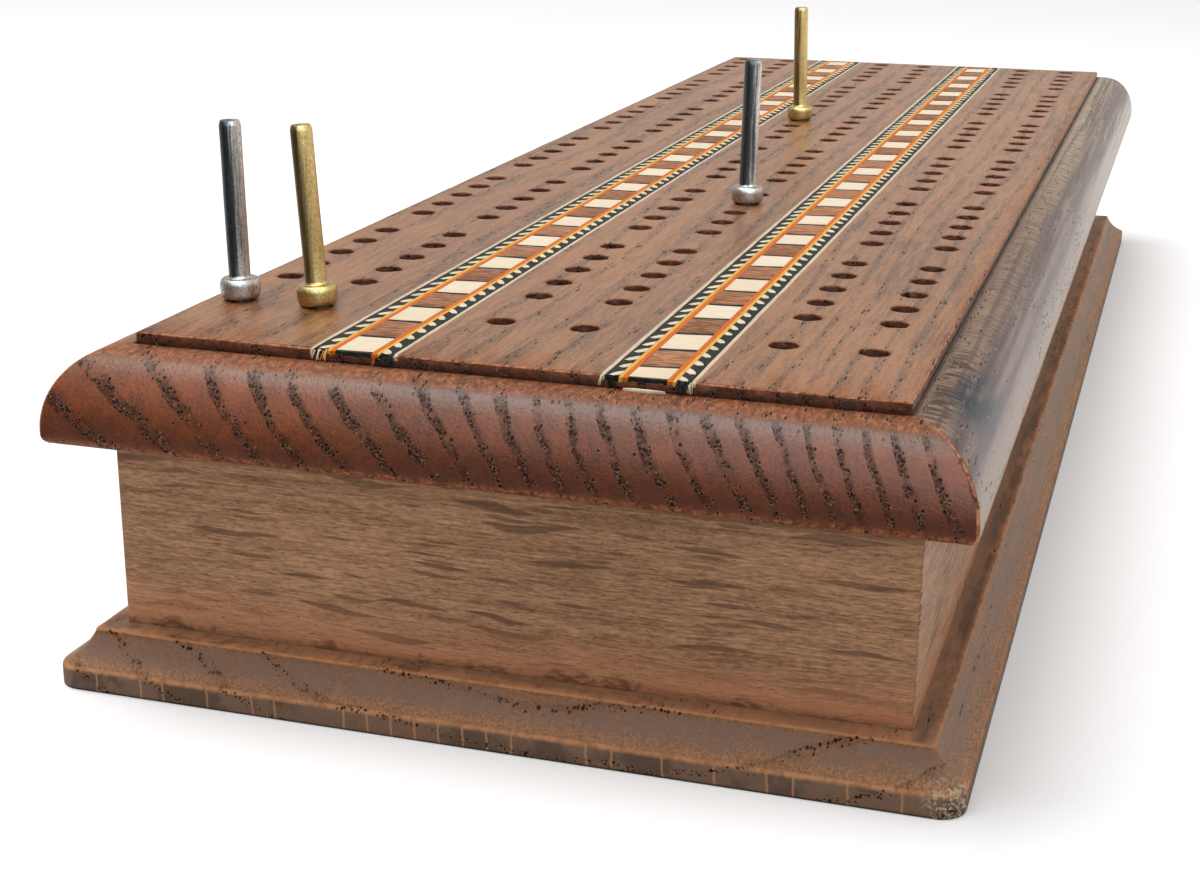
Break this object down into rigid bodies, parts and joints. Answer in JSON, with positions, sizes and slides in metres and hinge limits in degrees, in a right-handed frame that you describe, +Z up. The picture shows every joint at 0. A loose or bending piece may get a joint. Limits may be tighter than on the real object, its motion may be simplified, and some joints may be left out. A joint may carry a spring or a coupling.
{
  "type": "cribbage box with drawer",
  "caption": "Long wooden cribbage box: drilled pegging board with two inlaid bands and a moulded edge, coved base, end drawer with brass knob and standing metal pegs.",
  "frame": {"origin": "centre of the bounding box's underside: the middle of the width, half way from the plain end of the base to the tip of the drawer knob, on the surface that the box stands on", "axes": "+X across the width, to the right seen from the plain end; +Y along the length, from the plain end to the drawer end; +Z up out of the pegging board"},
  "size_m": [0.0888, 0.26, 0.053],
  "materials": {
    "oak_board": "satin varnish, worn",
    "oak_base": "satin varnish, worn",
    "oak_wall": "satin varnish",
    "oak_drawer_front": "satin varnish",
    "drawer_lining": "bare, planed",
    "banding_holly": "satin varnish",
    "banding_walnut": "satin varnish",
    "banding_black": "dyed black, satin varnish",
    "banding_yellow": "dyed, satin varnish",
    "banding_orange": "dyed, satin varnish",
    "banding_rope": "black and light slips, satin varnish",
    "knob_brass": "aged",
    "peg_steel": "turned, tarnished",
    "peg_brass": "turned, aged"
  },
  "bodies": {
    "case": {"pegging_board": "oak_board", "base_board": "oak_base", "left_side_wall": "oak_wall", "right_side_wall": "oak_wall", "end_wall": "oak_wall", "left_band_light_blocks": "banding_holly", "left_band_brown_blocks": "banding_walnut", "left_band_black_bars": "banding_black", "left_band_yellow_lines": "banding_yellow", "left_band_orange_lines": "banding_orange", "left_band_ropes": "banding_rope", "left_band_edge_lines": "banding_holly", "right_band_light_blocks": "banding_holly", "right_band_brown_blocks": "banding_walnut", "right_band_black_bars": "banding_black", "right_band_yellow_lines": "banding_yellow", "right_band_orange_lines": "banding_orange", "right_band_ropes": "banding_rope", "right_band_edge_lines": "banding_holly"},
    "drawer": {"drawer_front": "oak_drawer_front", "drawer_left_side": "drawer_lining", "drawer_right_side": "drawer_lining", "drawer_back": "drawer_lining", "drawer_bottom": "drawer_lining", "drawer_divider": "drawer_lining", "drawer_knob": "knob_brass"},
    "near_steel_peg": {"steel_peg_near": "peg_steel"},
    "near_brass_peg": {"brass_peg_near": "peg_brass"},
    "far_steel_peg": {"steel_peg_far": "peg_steel"},
    "far_brass_peg": {"brass_peg_far": "peg_brass"}
  },
  "joints": [
    {"name": "drawer_slide", "type": "slide", "parent": "case", "child": "drawer", "axis": [0, 1, 0], "range_m": [0, 0.19]},
    {"name": "near_steel_peg_lift", "type": "slide", "parent": "case", "child": "near_steel_peg", "axis": [-0.015, -0.0046, 0.9999], "range_m": [0, 0.01]},
    {"name": "near_brass_peg_lift", "type": "slide", "parent": "case", "child": "near_brass_peg", "axis": [-0.0567, -0.0173, 0.9982], "range_m": [0, 0.01]},
    {"name": "far_steel_peg_lift", "type": "slide", "parent": "case", "child": "far_steel_peg", "axis": [0.015, 0.0046, 0.9999], "range_m": [0, 0.01]},
    {"name": "far_brass_peg_lift", "type": "slide", "parent": "case", "child": "far_brass_peg", "axis": [-0.0234, -0.0071, 0.9997], "range_m": [0, 0.01]}
  ]
}
